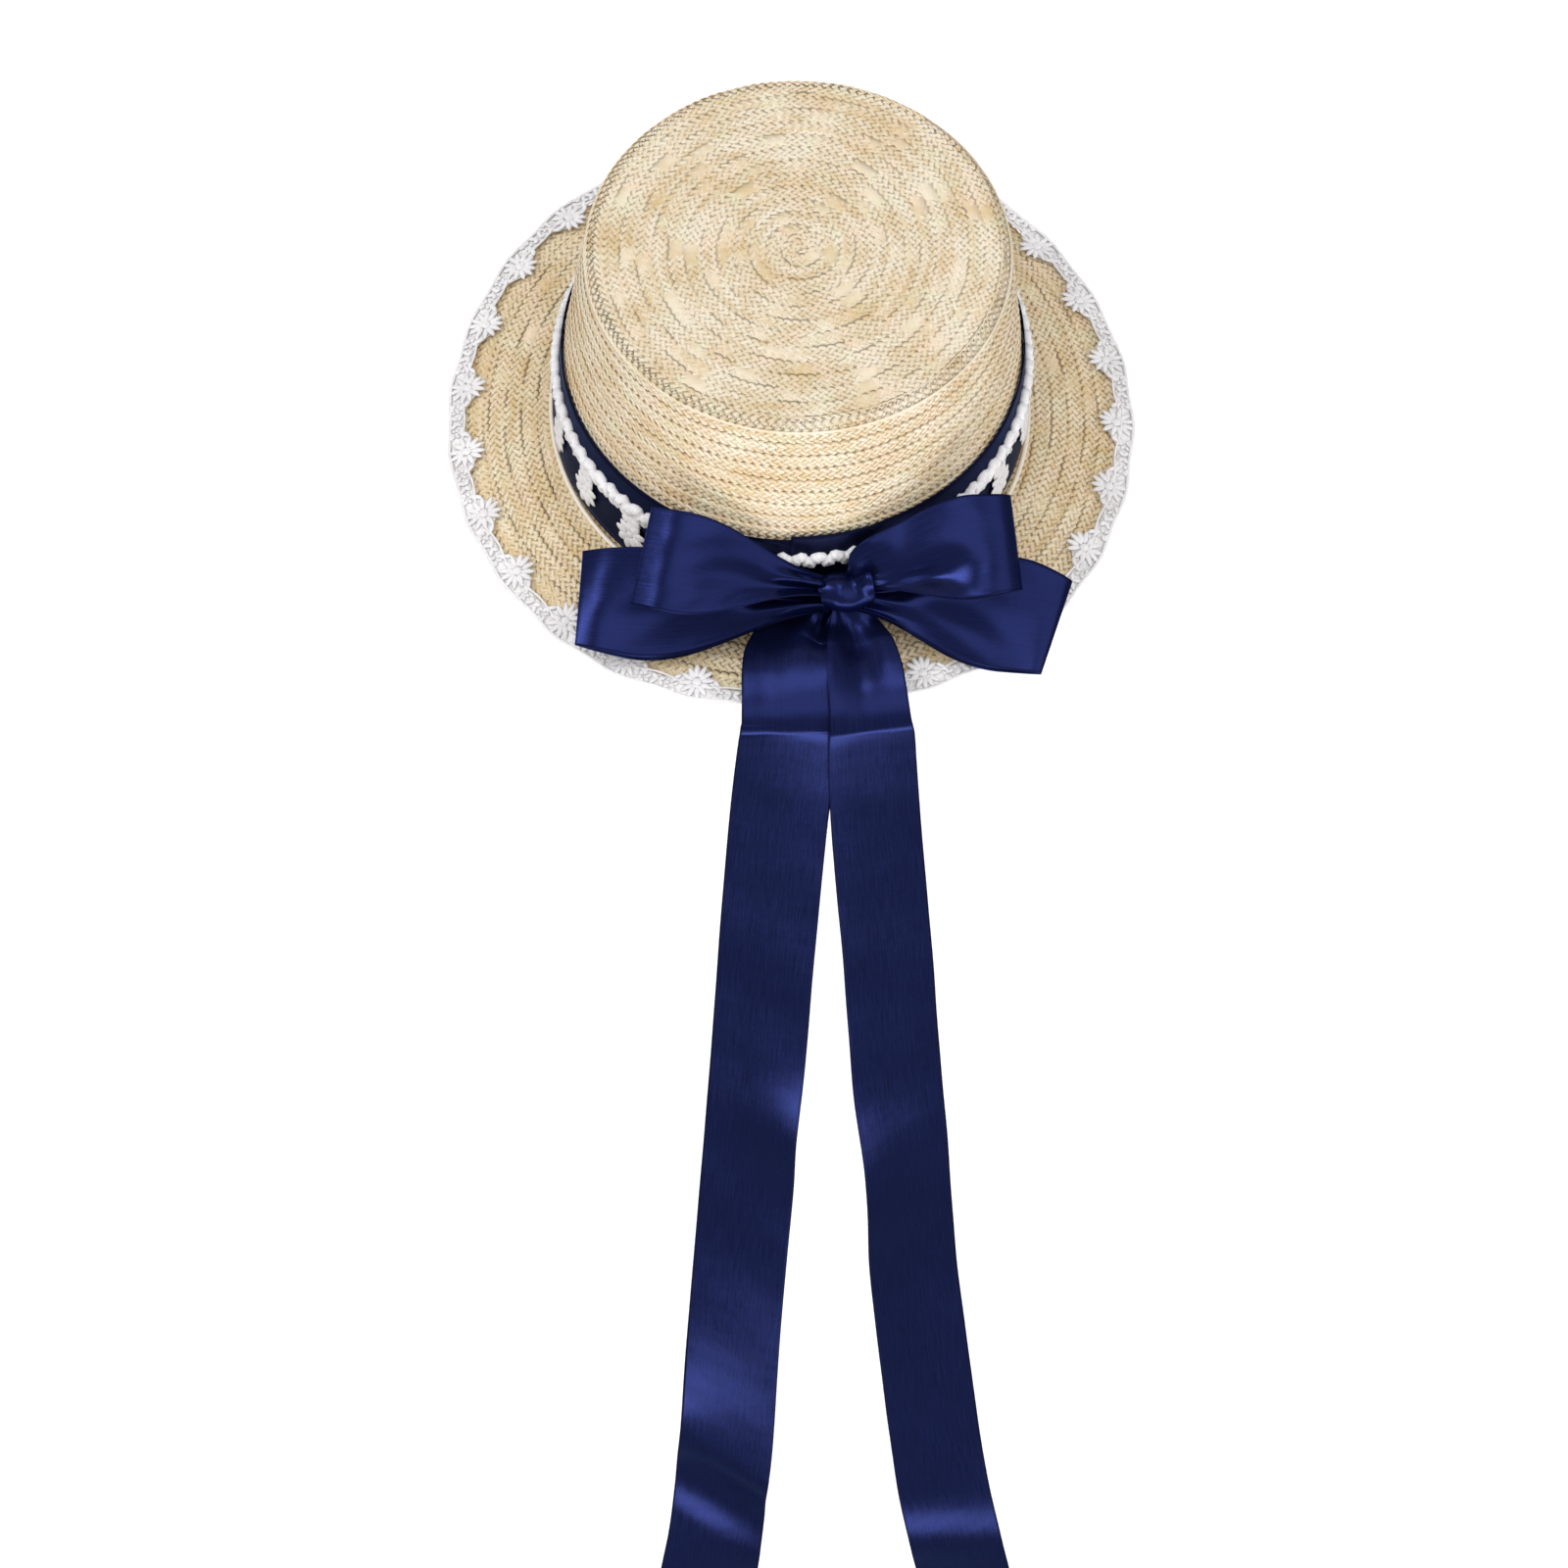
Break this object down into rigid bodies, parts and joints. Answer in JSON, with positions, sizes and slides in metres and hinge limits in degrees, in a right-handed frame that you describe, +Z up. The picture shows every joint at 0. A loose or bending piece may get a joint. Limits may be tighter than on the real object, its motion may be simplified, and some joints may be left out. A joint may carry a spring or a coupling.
{
  "type": "straw boater hat with a ribbon bow and two long tails",
  "caption": "Flat-topped straw boater with a lace-edged brim, a satin band with lace, and a double bow whose long ribbon tails hang over the front of the brim.",
  "frame": {"origin": "the middle of the head opening, level with the brim, where the hat sits on a head", "axes": "+Z up through the middle of the crown, +Y towards the back of the hat, the bow at -Y, +X to the viewer's right when the bow is looked at"},
  "size_m": [0.267, 0.3002, 0.7282],
  "materials": {
    "crown_straw": "sewn wheat-straw plait, cream with golden streaks, slightly glossy",
    "brim_straw": "sewn wheat-straw plait, a little more golden than the crown",
    "band_satin": "navy satin ribbon, soft sheen",
    "bow_satin": "navy satin ribbon, soft sheen",
    "lace": "white cotton lace, matt"
  },
  "bodies": {
    "root": {"crown": "crown_straw", "brim": "brim_straw", "hat_band": "band_satin", "band_lace": "lace", "brim_lace": "lace", "loop_upper_left": "bow_satin", "loop_upper_right": "bow_satin", "loop_lower_left": "bow_satin", "loop_lower_right": "bow_satin", "bow_knot": "bow_satin", "tail_left": "bow_satin", "tail_right": "bow_satin"}
  },
  "joints": []
}
